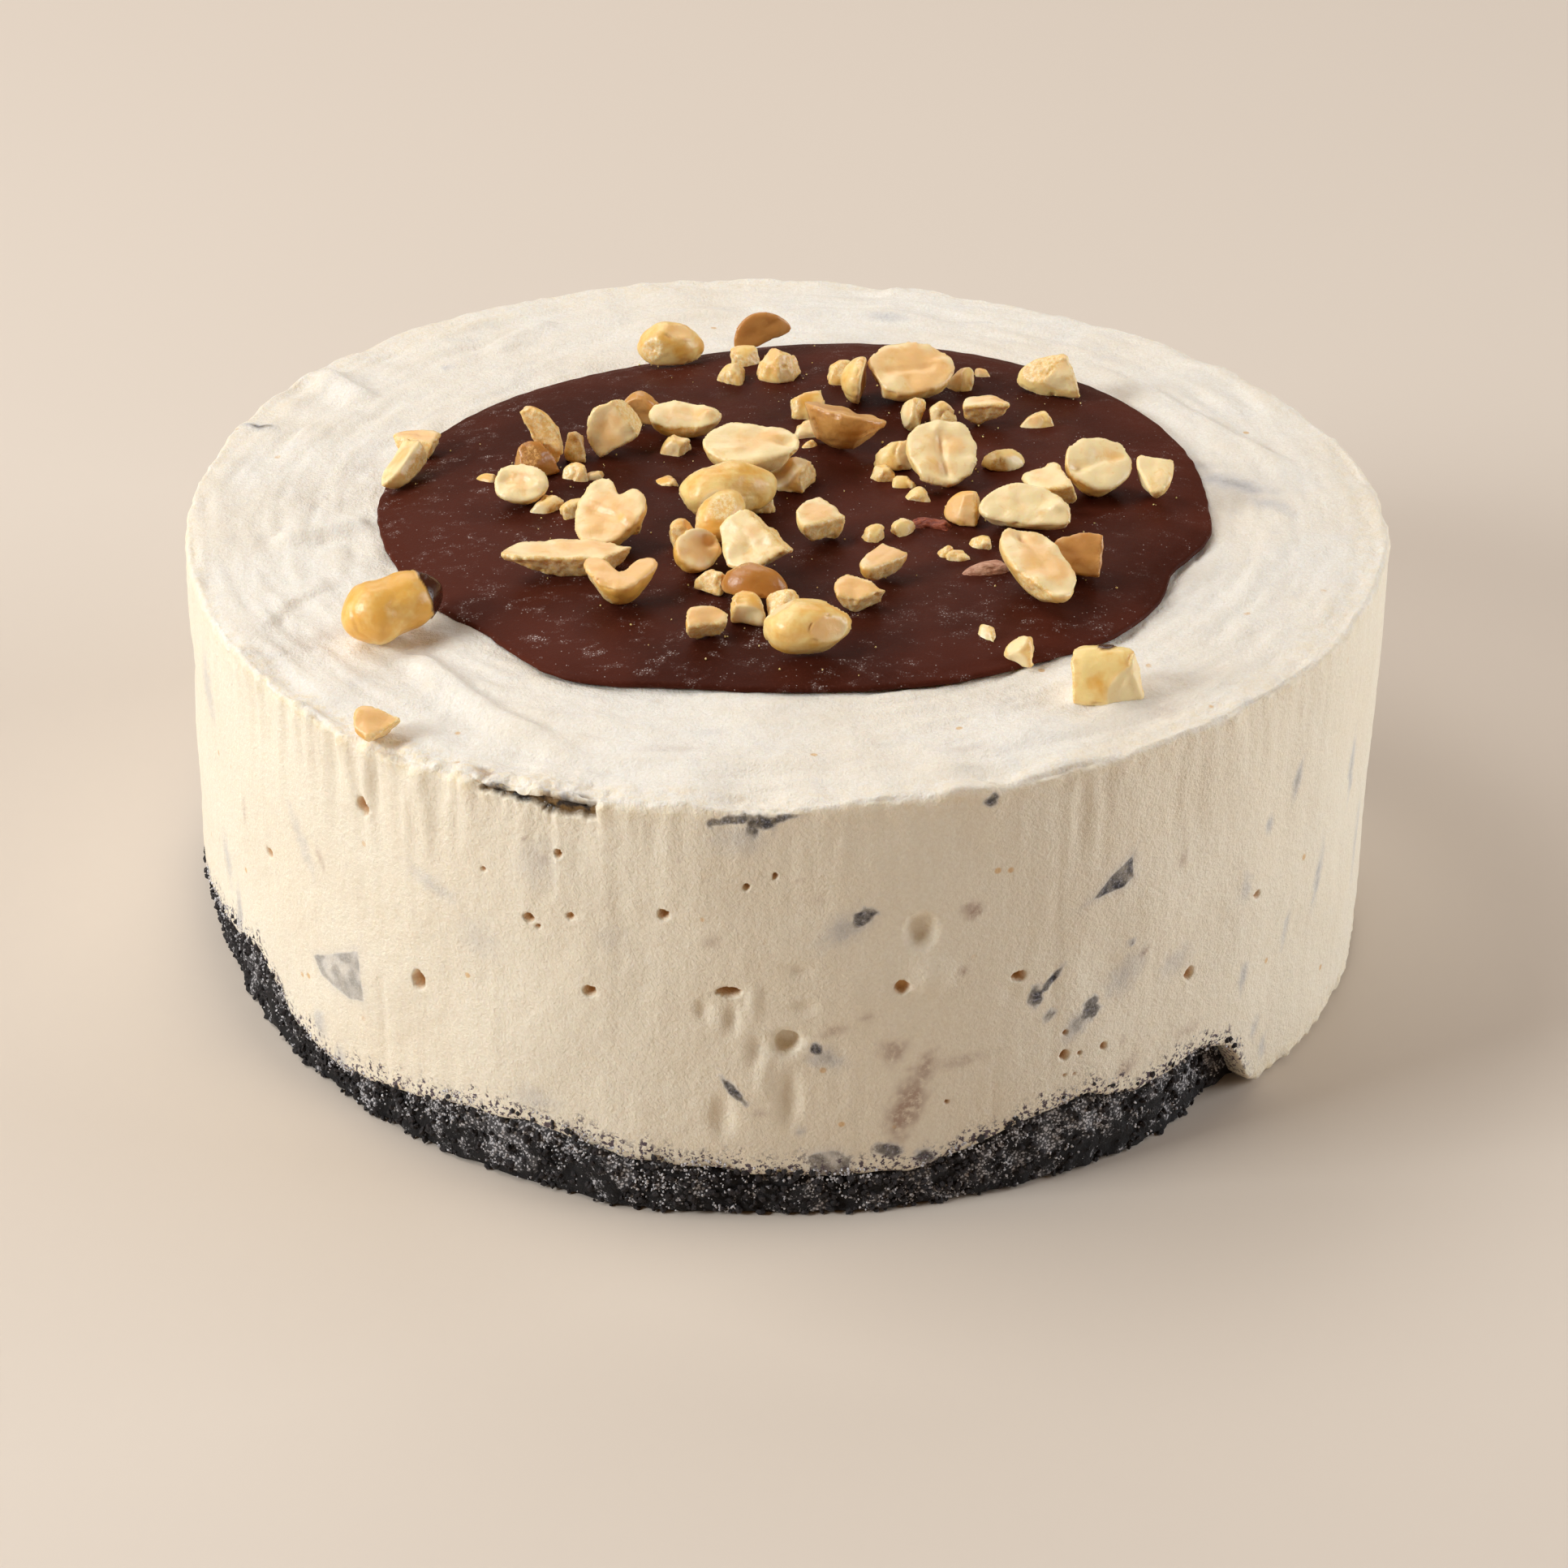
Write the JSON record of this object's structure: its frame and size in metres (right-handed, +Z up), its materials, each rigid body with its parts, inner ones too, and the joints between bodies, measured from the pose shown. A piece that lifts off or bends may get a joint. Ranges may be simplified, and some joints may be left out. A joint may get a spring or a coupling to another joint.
{
  "type": "ice cream cake",
  "caption": "Round vanilla ice cream cake on a dark cookie-crumb crust, with a poured chocolate cap and chopped peanuts piled on top.",
  "frame": {"origin": "centre of the crust's flat underside", "axes": "+Z up through the chocolate cap; -Y is the front of the cake, +X is to the right when the cake is seen from the front"},
  "size_m": [0.2035, 0.2038, 0.0869],
  "materials": {
    "cookie_crust": "coarse black cookie crumb, frosted grey-white in places, dry and matt",
    "vanilla_ice_cream": "creamy off-white ice cream, finely grained and faintly translucent, with chips of chocolate under the surface",
    "chocolate": "dark red-brown chocolate set to a satin sheen, with specks of frost",
    "peanut": "pale golden split peanut, smooth outside and mealy where broken",
    "roasted_peanut": "browner roasted peanut"
  },
  "bodies": {
    "root": {"crust": "cookie_crust", "ice_cream": "vanilla_ice_cream", "ganache": "chocolate", "back_block": "peanut", "back_crescent": "roasted_peanut", "back_dome": "peanut", "back_half": "peanut", "back_tip": "peanut", "bean": "peanut", "boat": "peanut", "brown_block": "roasted_peanut", "brown_crescent": "roasted_peanut", "brown_spear": "roasted_peanut", "brown_tip": "roasted_peanut", "centre_oval": "peanut", "centre_quarter": "peanut", "centre_tip": "peanut", "front_sliver": "peanut", "front_wedge": "peanut", "germ_half_back": "peanut", "germ_half_front": "peanut", "germ_half_left": "peanut", "green_strip": "peanut", "grooved_half": "peanut", "heart_half": "peanut", "left_block": "peanut", "long_wedge": "peanut", "mid_block": "peanut", "mid_tip": "peanut", "pale_block": "peanut", "pale_tip": "peanut", "peach_half": "peanut", "pile_big_curved": "peanut", "pile_block_front": "peanut", "pile_block_low": "peanut", "pile_block_mid": "peanut", "pile_brown_top": "roasted_peanut", "pile_chip": "peanut", "pile_corner": "peanut", "pile_germ_half": "peanut", "pile_leaf": "peanut", "pile_long_half": "peanut", "pile_ragged_top": "peanut", "pile_tip": "peanut", "pile_triangle": "peanut", "right_strip": "peanut", "right_tip": "peanut", "right_wedge": "peanut", "rim_chunk": "peanut", "rim_flake": "peanut", "rim_pair_flat": "peanut", "rim_pair_tall": "peanut", "side_on_half": "peanut", "upright_strip": "peanut", "upright_wedge": "peanut", "vee": "peanut", "whole_peanut": "peanut"}
  },
  "joints": []
}
